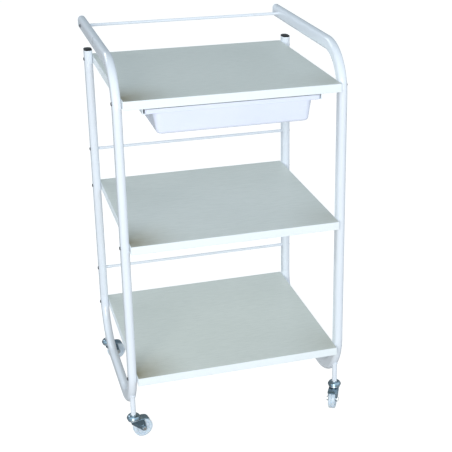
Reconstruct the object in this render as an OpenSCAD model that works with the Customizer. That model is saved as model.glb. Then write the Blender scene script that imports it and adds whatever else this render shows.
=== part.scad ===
// Rolling salon trolley: two bent side frames, three laminated shelves, a plastic
// drawer in runners under the top shelf, rear guard rods and four swivel casters.
// X runs to the right, Y to the rear, Z up, and Z = 0 is the floor.

/* [Shelves] */
// Width of each shelf, between the two side frames
shelf_w = 450; // [420:5:500]
// Depth of each shelf, front to rear
shelf_d = 425; // [405:5:445]
// Thickness of each shelf
shelf_t = 18; // [16:1:19]
// Height of the top shelf's surface above the floor
top_h = 775; // [765:5:815]
// Distance from one shelf's surface to the next one's
shelf_pitch = 305; // [290:1:306]
// Thickness of the band glued round each shelf's edge
band_t = 1; // [0.5:0.5:2]

/* [Side frames] */
// Width of the flat-oval tube, across the trolley
tube_w = 18; // [16:1:19]
// Depth of the flat-oval tube, in the plane of its bends
tube_d = 30; // [26:1:32]
// Wall of the flat-oval tube
tube_wall = 1.2; // [1:0.1:1.8]
// Front post's axis behind the shelves' front edge
post_front = 24; // [20:1:28]
// Rear post's axis in front of the shelves' rear edge
post_rear = 13; // [10:1:20]
// Bend radius of the two lower corners, on the tube's axis
low_bend = 110; // [90:1:115]
// Bend radius of the upper front corner, on the tube's axis
top_bend = 90; // [70:1:100]
// Handle's axis above the top shelf's surface
handle_rise = 61; // [58:1:66]
// Handle's rear end behind the rear post's axis
handle_over = 73; // [66:1:80]
// Bottom rail's axis above the floor
rail_h = 68; // [68:1:72]
// Rear post's cut end above the top shelf's surface
post_rise = 12; // [8:1:15]

/* [Rods] */
// Diameter of each rear guard rod
rod_d = 7; // [6:0.5:8]
// Height of the two lower rods above their shelves' surfaces
rod_rise = 82; // [60:1:90]
// Handle rod's axis in front of the handle's rear end
rod_inset = 43; // [35:1:50]

/* [Drawer] */
// Width of the drawer's body under its rim
tray_w = 330; // [320:2:336]
// Depth of the drawer over its rim, front to rear
tray_d = 300; // [260:5:320]
// Height of the drawer
tray_h = 55; // [44:1:60]
// Wall of the drawer
tray_wall = 2; // [1.6:0.1:2.4]

/* [Casters] */
// Diameter of each wheel
wheel_d = 43; // [41:1:44]
// Width of each wheel
wheel_w = 15; // [13:0.5:15.5]
// Horizontal distance from the swivel axis to the axle
trail = 20; // [18:0.5:21]
// Swivel axis behind the front post's axis, and in front of the rear post's
stem_in = 14; // [12:1:16]

/* [Hidden] */

$fn = 64;
eps = 0.01;
gap = 0.05;

// Caster rest angles: 0 trails to the front, positive turns it towards +X.
FL = 0;
FR = 1;
RL = 2;
RR = 3;
caster_angle = [102, -30, 100, 200];

// Wheel outline
wheel_r = wheel_d / 2;
wheel_round = 3;
wheel_bore_r = 4.66;

// The front-right wheel and the handle's end are the foremost and rearmost points.
// The shelves' front edge is placed so that the origin is midway between them, to 0.1 mm.
stem_front = post_front + stem_in;
front_angle = caster_angle[FR];
wheel_reach = (wheel_r - wheel_round) * cos(front_angle)
    + (wheel_w / 2 - wheel_round) * abs(sin(front_angle)) + wheel_round;
foremost = stem_front - trail * cos(front_angle) - wheel_reach;
rearmost = shelf_d - post_rear + handle_over;
front_y = -round(5 * (foremost + rearmost)) / 10;

// Frame positions in the part's own frame
post_fy = front_y + post_front;
post_ry = front_y + shelf_d - post_rear;
handle_end_y = front_y + rearmost;
handle_z = top_h + handle_rise;
post_top_z = top_h + post_rise;
cap_flange_h = 2.2;
cap_crown_h = 0.8;
cap_crown_inset = 1.2;
plug_wall = 2;
cap_plug_depth = 11;
handle_plug_depth = 12;
handle_plug_face = 2.5;
handle_plug_sunk = 0.5;
frame_x = shelf_w / 2 + tube_w / 2;
stem_fy = post_fy + stem_in;
stem_ry = post_ry - stem_in;
SHELF_Z = [top_h, top_h - shelf_pitch, top_h - 2 * shelf_pitch];

// Screws
screw_r = 2;
screw_head_r = 4;
screw_head_h = 2.2;
screw_head_dome = 1.4;
screw_clear = 0.2;
shelf_screw_len = 28;
rod_screw_len = 14;

// Rods
handle_rod_y = handle_end_y - rod_inset;
ROD_Y = [handle_rod_y, post_ry, post_ry];
ROD_Z = [handle_z, SHELF_Z[1] + rod_rise, SHELF_Z[2] + rod_rise];

// Runner section, measured down from the top shelf's underside
under_z = top_h - shelf_t;
runner_top = 2.2;
runner_h = 15;
runner_wall = 2;
runner_in = 172;
runner_out = 186;
runner_len = 330;
runner_y = front_y + 14;
runner_hole_x = 178;
RUNNER_HOLES = [40, 270];
runner_screw_r = 1.5;
runner_screw_len = 14;
csk_h = 1.6;
csk_r = runner_screw_r + csk_h;
csk_sink = 0.1;

// Drawer
tray_front = front_y + 6;
tray_gap = 0.7;
tray_top = under_z - runner_top - tray_gap;
tray_lip = 2;
tray_lip_x = 181;
tray_lip_h = 9.5;
tray_lip_round = 6;
tray_side_draft = 6;
tray_front_draft = 3;
tray_round = 14;
tray_foot = 5;
foot_narrowing = 4;

// Caster heights above the floor
crown_z = 44.3;
crown_t = 1.9;
crown_mid = crown_z + crown_t / 2;
race_z = 48.2;
ball_r = 2;
ball_gap = 0.2;
ball_ring = 10.5;
ball_z = race_z + ball_r + ball_gap;
cup_lip_z = 49.1;
cup_top_z = 57.2;
collar_h = 1.5;
socket_z = cup_top_z + collar_h;
stem_top = 88;
socket_top = 118;

// Caster swivel: cup, stem and socket
ball_count = 8;
cup_r = 15;
cup_wall = 1.6;
cup_round = 6.5;
collar_r = 6.5;
stem_r = 4;
stem_head_r = 6;
stem_head_h = 2;
socket_r = 5.5;
socket_sunk = 2;

// Caster fork, axle and wheel section
leg_in = 8.7;
leg_t = 1.8;
leg_out = leg_in + leg_t;
leg_round = 6;
leg_front_turn = 10;
leg_rear_turn = 40;
crown_r = 13;
crown_rear = 9;
crown_tab = 5;
race_r = 12.9;
race_in_r = 8;
hood_turn = 34;
axle_r = 3;
hex_r = 5;
hex_h = 3.2;
nut_h = 2.8;
sleeve_r = 4.6;
dish_in = 8;
dish_out = 15;
dish_depth = 2.5;
tread_groove = 1.3;

// ---------------------------------------------------------------- shapes

// Flat oval, w wide in X and d long in Y.
module oval(w, d) {
    square([w, d - w], center = true);
    for (s = [-1, 1])
        translate([0, s * (d - w) / 2])
            circle(d = w);
}

// The tube's outline, inset all round by t.
module inset_oval(t) {
    oval(tube_w - 2 * t, tube_d - 2 * t);
}

// Turns a sweep about Z into one about X, with its angle counted from +Y to +Z.
module about_x() {
    rotate([90, 0, 90])
        children();
}

// Quarter bend of the tube about (y, z), starting at angle a.
module bend(y, z, r, a, w, d) {
    translate([0, y, z])
        about_x()
            rotate([0, 0, a])
                rotate_extrude(angle = 90, $fn = 128)
                    translate([r, 0])
                        rotate([0, 0, 90])
                            oval(w, d);
}

module upright(y, z0, z1, w, d) {
    translate([0, y, z0])
        linear_extrude(z1 - z0)
            oval(w, d);
}

module level(z, y0, y1, w, d) {
    translate([0, y0, z])
        rotate([-90, 0, 0])
            linear_extrude(y1 - y0)
                oval(w, d);
}

// The whole bent run of one side frame; over lengthens its two open ends.
module frame_run(w, d, over) {
    upright(post_ry, rail_h + low_bend, post_top_z + over, w, d);
    bend(post_ry - low_bend, rail_h + low_bend, low_bend, -90, w, d);
    level(rail_h, post_fy + low_bend, post_ry - low_bend, w, d);
    bend(post_fy + low_bend, rail_h + low_bend, low_bend, 180, w, d);
    upright(post_fy, rail_h + low_bend, handle_z - top_bend, w, d);
    bend(post_fy + top_bend, handle_z - top_bend, top_bend, 90, w, d);
    level(handle_z, post_fy + top_bend, handle_end_y + over, w, d);
}

// A cylinder along X from x = 0, at (y, z).
module along_x(y, z, r, len) {
    translate([0, y, z])
        rotate([0, 90, 0])
            cylinder(r = r, h = len);
}

// Hexagonal prism
module hex(r, h) {
    cylinder(r = r, h = h, $fn = 6);
}

// ---------------------------------------------------------------- frame

module side_frame(side) {
    inner_w = tube_w - 2 * tube_wall;
    inner_d = tube_d - 2 * tube_wall;
    color("white")
        translate([side * frame_x, 0, 0])
            difference() {
                frame_run(tube_w, tube_d, 0);
                frame_run(inner_w, inner_d, 1);
                for (y = [post_fy, post_ry], z = SHELF_Z)
                    translate([-tube_w, 0, 0])
                        along_x(y, z - shelf_t / 2, screw_r + screw_clear, 2 * tube_w);
                for (i = [0:2])
                    translate([-tube_w, 0, 0])
                        along_x(ROD_Y[i], ROD_Z[i], screw_r + screw_clear, 2 * tube_w);
                for (y = [stem_fy, stem_ry])
                    translate([0, y, 0])
                        cylinder(r = socket_r + gap, h = socket_top);
            }
}

// Cap on a rear post: a crowned flange with a plug below it.
module post_cap(side) {
    color("black")
        translate([side * frame_x, post_ry, post_top_z]) {
            linear_extrude(cap_flange_h)
                oval(tube_w, tube_d);
            translate([0, 0, cap_flange_h])
                linear_extrude(cap_crown_h)
                    inset_oval(cap_crown_inset);
            translate([0, 0, -cap_plug_depth])
                linear_extrude(cap_plug_depth)
                    difference() {
                        inset_oval(tube_wall + gap);
                        inset_oval(tube_wall + plug_wall);
                    }
        }
}

// Plug pushed flush into the handle's rear end
module handle_plug(side) {
    outer = tube_wall + gap;
    inner = tube_wall + plug_wall;
    face_y = handle_end_y - handle_plug_sunk;
    back_y = handle_end_y - handle_plug_depth;
    color("black")
        translate([side * frame_x, 0, 0])
            difference() {
                level(handle_z, back_y, face_y, tube_w - 2 * outer, tube_d - 2 * outer);
                level(handle_z, back_y - 1, face_y - handle_plug_face,
                    tube_w - 2 * inner, tube_d - 2 * inner);
            }
}

// ---------------------------------------------------------------- shelves

module board(z) {
    color("gainsboro")
        difference() {
            translate([-shelf_w / 2 + band_t, front_y + band_t, z - shelf_t])
                cube([shelf_w - 2 * band_t, shelf_d - 2 * band_t, shelf_t]);
            shelf_screw_holes(z);
            if (z == top_h)
                for (s = [-1, 1], y = RUNNER_HOLES)
                    translate([s * runner_hole_x, runner_y + y, under_z - 1])
                        cylinder(r = runner_screw_r + gap, h = runner_screw_len);
        }
}

module shelf_screw_holes(z) {
    for (s = [-1, 1], y = [post_fy, post_ry])
        translate([s * (shelf_w / 2 - shelf_screw_len / 2), 0, 0])
            translate([-shelf_screw_len / 2 - 1, 0, 0])
                along_x(y, z - shelf_t / 2, screw_r + gap, shelf_screw_len + 2);
}

module edge_band(z) {
    color("white")
        difference() {
            translate([-shelf_w / 2, front_y, z - shelf_t])
                cube([shelf_w, shelf_d, shelf_t]);
            translate([-shelf_w / 2 + band_t, front_y + band_t, z - shelf_t - 1])
                cube([shelf_w - 2 * band_t, shelf_d - 2 * band_t, shelf_t + 2]);
            shelf_screw_holes(z);
        }
}

// ---------------------------------------------------------------- rods and screws

module guard_rod(i) {
    color("white")
        difference() {
            translate([-shelf_w / 2, 0, 0])
                along_x(ROD_Y[i], ROD_Z[i], rod_d / 2, shelf_w);
            for (s = [-1, 1])
                translate([s * (shelf_w / 2 - rod_screw_len / 2), 0, 0])
                    translate([-rod_screw_len / 2 - 1, 0, 0])
                        along_x(ROD_Y[i], ROD_Z[i], screw_r + gap, rod_screw_len + 2);
        }
}

// Pan-head screw on a side frame's outer face, running inwards by len past the tube.
module side_screw(side, y, z, len) {
    crown = screw_head_r - screw_head_dome;
    color("dimgray")
        translate([side * (shelf_w / 2 + tube_w), y, z])
            rotate([0, -side * 90, 0]) {
                cylinder(r = screw_r, h = tube_w + len - 1);
                translate([0, 0, -screw_head_h])
                    cylinder(r1 = crown, r2 = screw_head_r, h = screw_head_h / 2);
                translate([0, 0, -screw_head_h / 2])
                    cylinder(r = screw_head_r, h = screw_head_h / 2);
            }
}

module shelf_screws(z) {
    for (s = [-1, 1], y = [post_fy, post_ry])
        side_screw(s, y, z - shelf_t / 2, shelf_screw_len);
}

module rod_screws() {
    for (s = [-1, 1], i = [0:2])
        side_screw(s, ROD_Y[i], ROD_Z[i], rod_screw_len);
}

// ---------------------------------------------------------------- drawer

module runner(side) {
    color("whitesmoke")
        difference() {
            translate([0, runner_y, 0])
                rotate([90, 0, 0])
                    translate([0, 0, -runner_len])
                        linear_extrude(runner_len)
                            mirror([side < 0 ? 1 : 0, 0, 0])
                                runner_section();
            for (y = RUNNER_HOLES)
                translate([side * runner_hole_x, runner_y + y, under_z - runner_top]) {
                    cylinder(r = runner_screw_r + gap, h = runner_top + 1);
                    translate([0, 0, -1])
                        cylinder(r = csk_r + gap, h = 1 + csk_sink);
                    translate([0, 0, csk_sink])
                        cylinder(r1 = csk_r + gap, r2 = runner_screw_r + gap, h = csk_h);
                }
        }
}

module runner_section() {
    span = runner_out - runner_in;
    translate([runner_in, under_z - runner_top])
        square([span, runner_top]);
    translate([runner_out - runner_wall, under_z - runner_h])
        square([runner_wall, runner_h]);
    translate([runner_in, under_z - runner_h])
        square([span, runner_wall]);
}

module runner_screws() {
    color("silver")
        for (s = [-1, 1], y = RUNNER_HOLES)
            translate([s * runner_hole_x, runner_y + y, under_z - runner_top + csk_sink]) {
                cylinder(r = runner_screw_r, h = runner_screw_len);
                cylinder(r1 = csk_r, r2 = runner_screw_r, h = csk_h);
            }
}

// Drafted box with round corners, inset all round by t, from z0 up to the drawer's top.
module tray_body(t, z0, z1) {
    rt = tray_round - t;
    rb = rt - foot_narrowing;
    wt = tray_w / 2 - tray_round;
    wb = wt - tray_side_draft + foot_narrowing;
    y_front = tray_front + tray_lip + tray_round;
    y_rear = tray_front + tray_d - tray_lip - tray_round;
    shift = tray_front_draft - foot_narrowing;
    hull() {
        for (s = [-1, 1], y = [y_front, y_rear])
            translate([s * wt, y, z1 - eps])
                cylinder(r = rt, h = eps, $fn = 48);
        for (s = [-1, 1])
            translate([s * wb, 0, z0]) {
                for (y = [y_front + shift, y_rear - shift]) {
                    translate([0, y, tray_foot])
                        cylinder(r = rb, h = eps, $fn = 48);
                    translate([0, y, 0])
                        cylinder(r = rb - tray_foot, h = eps, $fn = 48);
                }
            }
    }
}

module tray_rim_outline(grow) {
    y0 = tray_front - grow;
    y1 = tray_front + tray_d + grow;
    x1 = tray_lip_x + grow;
    r = tray_lip_round + grow;
    for (s = [-1, 1], y = [y0 + r, y1 - r])
        translate([s * (x1 - r), y])
            circle(r = r);
    translate([-x1 + r, y0])
        square([2 * (x1 - r), y1 - y0]);
    translate([-x1, y0 + r])
        square([2 * x1, y1 - y0 - 2 * r]);
}

module drawer_tray() {
    bottom_z = tray_top - tray_h;
    color("white")
        difference() {
            union() {
                tray_body(0, bottom_z, tray_top);
                translate([0, 0, tray_top - tray_lip])
                    linear_extrude(tray_lip)
                        tray_rim_outline(0);
                translate([0, 0, tray_top - tray_lip_h])
                    linear_extrude(tray_lip_h)
                        difference() {
                            tray_rim_outline(0);
                            tray_rim_outline(-tray_lip);
                        }
            }
            tray_body(tray_wall, bottom_z + tray_wall, tray_top + 1);
        }
}

// ---------------------------------------------------------------- casters

// Puts a caster's parts at its swivel axis, trailing along their own +X.
module at_caster(i) {
    x = (i == FL || i == RL) ? -frame_x : frame_x;
    y = i < RL ? stem_fy : stem_ry;
    translate([x, y, 0])
        rotate([0, 0, caster_angle[i] - 90])
            children();
}

// A cylinder along the axle, from y = a to y = b.
module on_axle(a, b, r) {
    translate([trail, a, wheel_r])
        rotate([-90, 0, 0])
            cylinder(r = r, h = b - a);
}

module socket(i) {
    color("white")
        at_caster(i)
            difference() {
                translate([0, 0, socket_z])
                    cylinder(r = socket_r, h = socket_top - socket_sunk - socket_z);
                translate([0, 0, socket_z - 1])
                    cylinder(r = stem_r + gap, h = socket_top);
            }
}

// Stem: its head under the crown, its shank through the swivel, and a collar on the cup.
module stem(i) {
    under_crown = crown_z - screw_clear;
    color("silver")
        at_caster(i) {
            translate([0, 0, under_crown - stem_head_h])
                cylinder(r = stem_head_r, h = stem_head_h);
            translate([0, 0, under_crown - screw_clear / 2])
                cylinder(r = stem_r, h = stem_top - under_crown + screw_clear / 2);
            translate([0, 0, cup_top_z])
                cylinder(r = collar_r, h = collar_h);
        }
}

// Half section of the bearing cup's outside: a plug of radius cup_r with a round shoulder.
module cup_outside() {
    flat_r = cup_r - cup_round;
    mid_z = cup_top_z - cup_round;
    translate([0, cup_lip_z])
        square([flat_r, cup_top_z - cup_lip_z]);
    translate([flat_r, mid_z])
        circle(r = cup_round);
    translate([0, cup_lip_z])
        square([cup_r, mid_z - cup_lip_z]);
}

// Half section of the room inside the cup, with its flat race above the balls.
module cup_inside() {
    flat_r = cup_r - cup_round;
    mid_z = cup_top_z - cup_round;
    ceiling_z = ball_z + ball_r + ball_gap;
    translate([flat_r, mid_z])
        intersection() {
            circle(r = cup_round - cup_wall);
            translate([-cup_round, -2 * cup_round])
                square([2 * cup_round, 2 * cup_round + ceiling_z - mid_z]);
        }
    translate([-1, 0])
        square([cup_r - cup_wall + 1, mid_z]);
    translate([-1, 0])
        square([flat_r + 1, ceiling_z]);
}

// Upper half of the swivel bearing: a domed cup with a flat race inside.
module bearing_cup(i) {
    bore_r = stem_r + gap / 2;
    color("slategray")
        at_caster(i)
            rotate_extrude()
                difference() {
                    cup_outside();
                    cup_inside();
                    translate([-bore_r, 0])
                        square([2 * bore_r, 2 * cup_top_z]);
                    translate([0, cup_lip_z - cup_r])
                        square([2 * cup_r, cup_r]);
                }
}

module swivel_balls() {
    color("silver")
        for (i = [FL:RR])
            at_caster(i)
                for (k = [0:ball_count - 1])
                    rotate([0, 0, k * 360 / ball_count])
                        translate([ball_ring, 0, ball_z])
                            sphere(r = ball_r, $fn = 32);
}

// Side view of one fork leg, in X and Z.
module leg_outline() {
    a = leg_front_turn;
    b = -leg_rear_turn;
    polygon([
        [-crown_rear, crown_mid],
        [trail, crown_mid],
        [trail + leg_round * cos(a), wheel_r + leg_round * sin(a)],
        [trail - leg_round * cos(b), wheel_r + leg_round * sin(b)],
        [-crown_rear, crown_z - crown_tab]
    ]);
    translate([trail, wheel_r])
        circle(r = leg_round);
}

// Side view of the crown and of the hood that carries it on round the wheel's top.
module hood_outline() {
    reach = 2 * wheel_r;
    end = 90 - hood_turn;
    translate([-crown_rear, crown_z])
        square([crown_rear + trail, crown_t]);
    translate([trail, wheel_r])
        intersection() {
            difference() {
                circle(r = crown_z + crown_t - wheel_r, $fn = 96);
                circle(r = crown_z - wheel_r, $fn = 96);
            }
            polygon([
                [0, 0], [0, reach],
                [reach * cos(end), reach], [reach * cos(end), reach * sin(end)]
            ]);
        }
}

// A sheet of thickness t in the plane of the wheel, from y = a on.
module upright_sheet(a, t) {
    translate([0, a + t, 0])
        rotate([90, 0, 0])
            linear_extrude(t)
                children();
}

// Fork: crown plate, hood, lower race and two legs, pressed from one sheet.
module fork(i) {
    color("slategray")
        at_caster(i)
            difference() {
                union() {
                    translate([0, 0, crown_z])
                        cylinder(r = crown_r, h = crown_t);
                    upright_sheet(-leg_out, 2 * leg_out)
                        hood_outline();
                    translate([0, 0, crown_z + crown_t])
                        cylinder(r = race_r, h = race_z - crown_z - crown_t);
                    upright_sheet(leg_in, leg_t)
                        leg_outline();
                    upright_sheet(-leg_out, leg_t)
                        leg_outline();
                }
                translate([0, 0, crown_z - 1])
                    cylinder(r = stem_r + gap, h = cup_top_z - crown_z);
                translate([0, 0, crown_z + crown_t])
                    cylinder(r = race_in_r, h = cup_top_z - crown_z);
                on_axle(-wheel_w, wheel_w, axle_r + gap);
            }
}

module axle_bolt(i) {
    color("silver")
        at_caster(i) {
            on_axle(-leg_out - eps, leg_out + hex_h, axle_r);
            translate([trail, -leg_out, wheel_r])
                rotate([90, 0, 0])
                    hex(hex_r, hex_h);
        }
}

module axle_nut(i) {
    color("silver")
        at_caster(i)
            difference() {
                translate([trail, leg_out, wheel_r])
                    rotate([-90, 0, 0])
                        hex(hex_r, nut_h);
                on_axle(0, wheel_w, axle_r + gap);
            }
}

module hub_sleeve(i) {
    color("silver")
        at_caster(i)
            difference() {
                on_axle(-leg_in + gap, leg_in - gap, sleeve_r);
                on_axle(-wheel_w, wheel_w, axle_r + gap);
            }
}

// Half section of the wheel: radius in X, distance from its middle plane in Y.
module wheel_section() {
    hw = wheel_w / 2;
    difference() {
        union() {
            translate([0, -hw])
                square([wheel_r - wheel_round, wheel_w]);
            translate([0, -hw + wheel_round])
                square([wheel_r, wheel_w - 2 * wheel_round]);
            for (s = [-1, 1])
                translate([wheel_r - wheel_round, s * (hw - wheel_round)])
                    circle(r = wheel_round);
        }
        translate([-1, -hw - 1])
            square([1 + wheel_bore_r, wheel_w + 2]);
        for (y = [hw - dish_depth, -hw - 1])
            translate([dish_in, y])
                square([dish_out - dish_in, dish_depth + 1]);
        translate([wheel_r, 0])
            circle(r = tread_groove);
    }
}

module wheel(i) {
    color("ghostwhite")
        at_caster(i)
            translate([trail, 0, wheel_r])
                rotate([90, 0, 0])
                    rotate_extrude($fn = 96)
                        wheel_section();
}

// ---------------------------------------------------------------- nodes

side_frame(-1);  // left_side_frame
side_frame(1);  // right_side_frame
post_cap(-1);  // left_post_cap
post_cap(1);  // right_post_cap
handle_plug(-1);  // left_handle_plug
handle_plug(1);  // right_handle_plug
board(SHELF_Z[0]);  // top_shelf
board(SHELF_Z[1]);  // middle_shelf
board(SHELF_Z[2]);  // bottom_shelf
edge_band(SHELF_Z[0]);  // top_shelf_band
edge_band(SHELF_Z[1]);  // middle_shelf_band
edge_band(SHELF_Z[2]);  // bottom_shelf_band
guard_rod(0);  // handle_rod
guard_rod(1);  // middle_guard_rod
guard_rod(2);  // bottom_guard_rod
shelf_screws(SHELF_Z[0]);  // top_shelf_screws
shelf_screws(SHELF_Z[1]);  // middle_shelf_screws
shelf_screws(SHELF_Z[2]);  // bottom_shelf_screws
rod_screws();
runner_screws();
runner(-1);  // left_runner
runner(1);  // right_runner
drawer_tray();
swivel_balls();
socket(FL);  // fl_socket
stem(FL);  // fl_stem
bearing_cup(FL);  // fl_bearing_cup
fork(FL);  // fl_fork
axle_bolt(FL);  // fl_axle_bolt
axle_nut(FL);  // fl_axle_nut
hub_sleeve(FL);  // fl_hub_sleeve
wheel(FL);  // fl_wheel
socket(FR);  // fr_socket
stem(FR);  // fr_stem
bearing_cup(FR);  // fr_bearing_cup
fork(FR);  // fr_fork
axle_bolt(FR);  // fr_axle_bolt
axle_nut(FR);  // fr_axle_nut
hub_sleeve(FR);  // fr_hub_sleeve
wheel(FR);  // fr_wheel
socket(RL);  // rl_socket
stem(RL);  // rl_stem
bearing_cup(RL);  // rl_bearing_cup
fork(RL);  // rl_fork
axle_bolt(RL);  // rl_axle_bolt
axle_nut(RL);  // rl_axle_nut
hub_sleeve(RL);  // rl_hub_sleeve
wheel(RL);  // rl_wheel
socket(RR);  // rr_socket
stem(RR);  // rr_stem
bearing_cup(RR);  // rr_bearing_cup
fork(RR);  // rr_fork
axle_bolt(RR);  // rr_axle_bolt
axle_nut(RR);  // rr_axle_nut
hub_sleeve(RR);  // rr_hub_sleeve
wheel(RR);  // rr_wheel
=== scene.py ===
"""Rolling salon trolley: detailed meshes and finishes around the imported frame."""

from math import atan2, copysign, cos, exp, hypot, pi, radians, sin, sqrt, tan

import bmesh
import bpy
from mathutils import Matrix, Vector


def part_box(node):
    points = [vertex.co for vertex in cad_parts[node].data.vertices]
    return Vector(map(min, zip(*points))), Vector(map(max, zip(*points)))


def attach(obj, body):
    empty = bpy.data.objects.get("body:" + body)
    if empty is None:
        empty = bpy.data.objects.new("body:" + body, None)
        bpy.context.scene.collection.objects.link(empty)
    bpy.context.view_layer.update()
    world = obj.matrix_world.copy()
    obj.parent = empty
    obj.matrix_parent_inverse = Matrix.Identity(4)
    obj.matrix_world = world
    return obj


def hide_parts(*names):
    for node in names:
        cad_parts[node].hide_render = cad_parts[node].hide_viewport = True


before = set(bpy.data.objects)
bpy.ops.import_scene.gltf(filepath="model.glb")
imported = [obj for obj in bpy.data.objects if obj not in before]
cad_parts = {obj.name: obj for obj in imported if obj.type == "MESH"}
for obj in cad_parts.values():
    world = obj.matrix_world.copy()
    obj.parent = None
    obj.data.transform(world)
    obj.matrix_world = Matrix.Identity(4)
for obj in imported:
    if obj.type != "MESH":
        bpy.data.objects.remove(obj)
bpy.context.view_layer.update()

MM = 0.001

# Camera, in metres and radians
CAMERA_PLACE = (-0.528, -2.2173, 1.337)
CAMERA_YAW = 0.310
CAMERA_PITCH = 0.3634
CAMERA_LENS = 84.8
CAMERA_SENSOR = 36.0
CAMERA_SHIFT = (-0.133, -0.071)

# Light. The floor's glow is given in view, on surfaces and in reflections. The room's is given on
# surfaces at the horizon and overhead, and in reflections before and behind the trolley.
FLOOR_GLOW = (0.86, 0.3, 0.1)
AMBIENT = (1.5, 0.4)
MIRRORED = (1.5, 0.35)
AMBIENT_TINT = (0.79, 0.915, 1.0, 1.0)
HEART = (0.0, 0.0, 0.45)
KEY_PLACE = (-1.2, -2.9, 1.35)
KEY_SIZE = (1.8, 1.2)
KEY_POWER = 52
KEY_COLOUR = (1.0, 0.985, 0.95)
RIM_PLACE = (-1.6, 2.4, 2.2)
RIM_SIZE = (1.6, 1.2)
RIM_POWER = 16
RIM_COLOUR = (0.93, 0.97, 1.0)
FLOOR_REACH = 60.0

# Side frames
TUBE_W = 18 * MM
TUBE_D = 30 * MM
TUBE_WALL = 1.2 * MM
LOW_BEND = 110 * MM
TOP_BEND = 90 * MM
CREASE_DEPTH = 0.5 * MM
CREASE_REACH = 2.6 * MM
BEND_FLAT = 0.7 * MM
CAP_H = 3 * MM

# Boards and their bands
POST_IN = 24 * MM
BAND_T = 1 * MM
ARRIS = 0.8 * MM

# Drawer and runners
RUNNER_TOP = 2.2 * MM
RUNNER_WALL = 2 * MM
RUNNER_SHANK_R = 1.5 * MM
COUNTERSINK_R = 3.1 * MM
COUNTERSINK_H = 1.6 * MM
TRAY_WALL = 2 * MM
TRAY_LIP = 2 * MM
TRAY_SKIRT = 9.5 * MM
TRAY_OVERHANG = 16 * MM
TRAY_SIDE_DRAFT = 6 * MM
TRAY_FRONT_DRAFT = 3 * MM
TRAY_ROUND = 14 * MM
TRAY_FOOT = 7 * MM

# Casters
CROWN_T = 1.9 * MM
RACE_H = 2 * MM
RACE_R = 12.9 * MM
CROWN_R = 13 * MM
CROWN_REAR = -9 * MM
CROWN_TAB = 5 * MM
HOOD_TURN = radians(34)
LEG_IN = 8.7 * MM
LEG_OUT = 10.5 * MM
LEG_ROUND = 6 * MM
# The panel pressed into a leg: distance behind the stem, height over the crown's underside and
# corner radius, in millimetres
PANEL = ((-5, -2.4, 1.2), (4, -9.5, 1.5), (12, -15.5, 1.6), (18.5, -13.5, 1.6), (16, -2.4, 1.8))
AXLE_R = 3 * MM
HEX_R = 5 * MM
STEM_R = 4 * MM
FIT = 0.05 * MM

# Screws
HEAD_R = 4 * MM
HEAD_H = 2.2 * MM
SHELF_SCREW_BITE = 27 * MM
ROD_SCREW_BITE = 13 * MM
SHANK_R = 2 * MM

CASTERS = ("fl", "fr", "rl", "rr")
SIDES = ("left", "right")
SHELVES = ("top", "middle", "bottom")
RODS = ("handle_rod", "middle_guard_rod", "bottom_guard_rod")


# ---------- frame places


def middle(node):
    """Centre of a CAD node's box."""
    lo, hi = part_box(node)
    return (lo + hi) / 2


def extent(node):
    """Size of a CAD node's box."""
    lo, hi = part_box(node)
    return hi - lo


# ---------- mesh helpers


def loft(bm, rings, closed=False):
    """Skin through rings of points, closed on itself or capped at both ends."""
    rows = [[bm.verts.new(p) for p in ring] for ring in rings]
    count = len(rows[0])
    pairs = list(zip(rows, rows[1:]))
    if closed:
        pairs.append((rows[-1], rows[0]))
    for a, b in pairs:
        for i in range(count):
            j = (i + 1) % count
            bm.faces.new((a[i], a[j], b[j], b[i]))
    if not closed:
        bm.faces.new(list(reversed(rows[0])))
        bm.faces.new(rows[-1])
    return rows


def lathe(bm, profile, matrix=Matrix.Identity(4), segments=48):
    """Solid of revolution about local Z of a closed outline of (radius, height) points."""
    start = len(bm.verts)
    rings = []
    for k in range(segments):
        turn = Matrix.Rotation(2 * pi * k / segments, 4, "Z")
        rings.append([matrix @ turn @ Vector((r, 0, h)) for r, h in profile])
    loft(bm, rings, closed=True)
    bm.verts.ensure_lookup_table()
    bmesh.ops.remove_doubles(bm, verts=bm.verts[start:], dist=1e-6)


def shrink(outline, inset):
    """A smooth anticlockwise outline of (u, v) points drawn in by inset."""
    points = []
    for i, (u, v) in enumerate(outline):
        here = Vector((u, v))
        back = (here - Vector(outline[i - 1])).normalized()
        ahead = (Vector(outline[(i + 1) % len(outline)]) - here).normalized()
        along = (back + ahead).normalized()
        points.append((u - inset * along.y, v + inset * along.x))
    return points


def fillet(corners, steps=5):
    """Closed outline through corners of (u, v, radius), each rounded by an arc of its radius."""
    outline = []
    for i, (u, v, radius) in enumerate(corners):
        here = Vector((u, v))
        if radius == 0:
            outline.append((u, v))
            continue
        back = (Vector(corners[i - 1][:2]) - here).normalized()
        ahead = (Vector(corners[(i + 1) % len(corners)][:2]) - here).normalized()
        half = back.angle(ahead) / 2
        centre = here + (back + ahead).normalized() * radius / sin(half)
        first = here + back * radius / tan(half) - centre
        last = here + ahead * radius / tan(half) - centre
        start = atan2(first.y, first.x)
        turn = atan2(last.y, last.x) - start
        turn = (turn + pi) % (2 * pi) - pi
        for k in range(steps + 1):
            a = start + turn * k / steps
            outline.append((centre.x + radius * cos(a), centre.y + radius * sin(a)))
    return outline


def oval(width, depth, steps=10):
    """Outline of a flat oval, width wide in x with half-round ends, and depth long in y."""
    r = width / 2
    outline = []
    for sign in (1, -1):
        for k in range(steps + 1):
            a = pi * k / steps
            outline.append((sign * r * cos(a), sign * (depth / 2 - r + r * sin(a))))
    return outline


def rounded_rect(half_x, y0, y1, radius, z, steps=8):
    """Level ring of points round a rectangle with round corners."""
    outline = fillet(
        [(half_x, y1, radius), (-half_x, y1, radius), (-half_x, y0, radius), (half_x, y0, radius)],
        steps,
    )
    return [Vector((x, y, z)) for x, y in outline]


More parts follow.
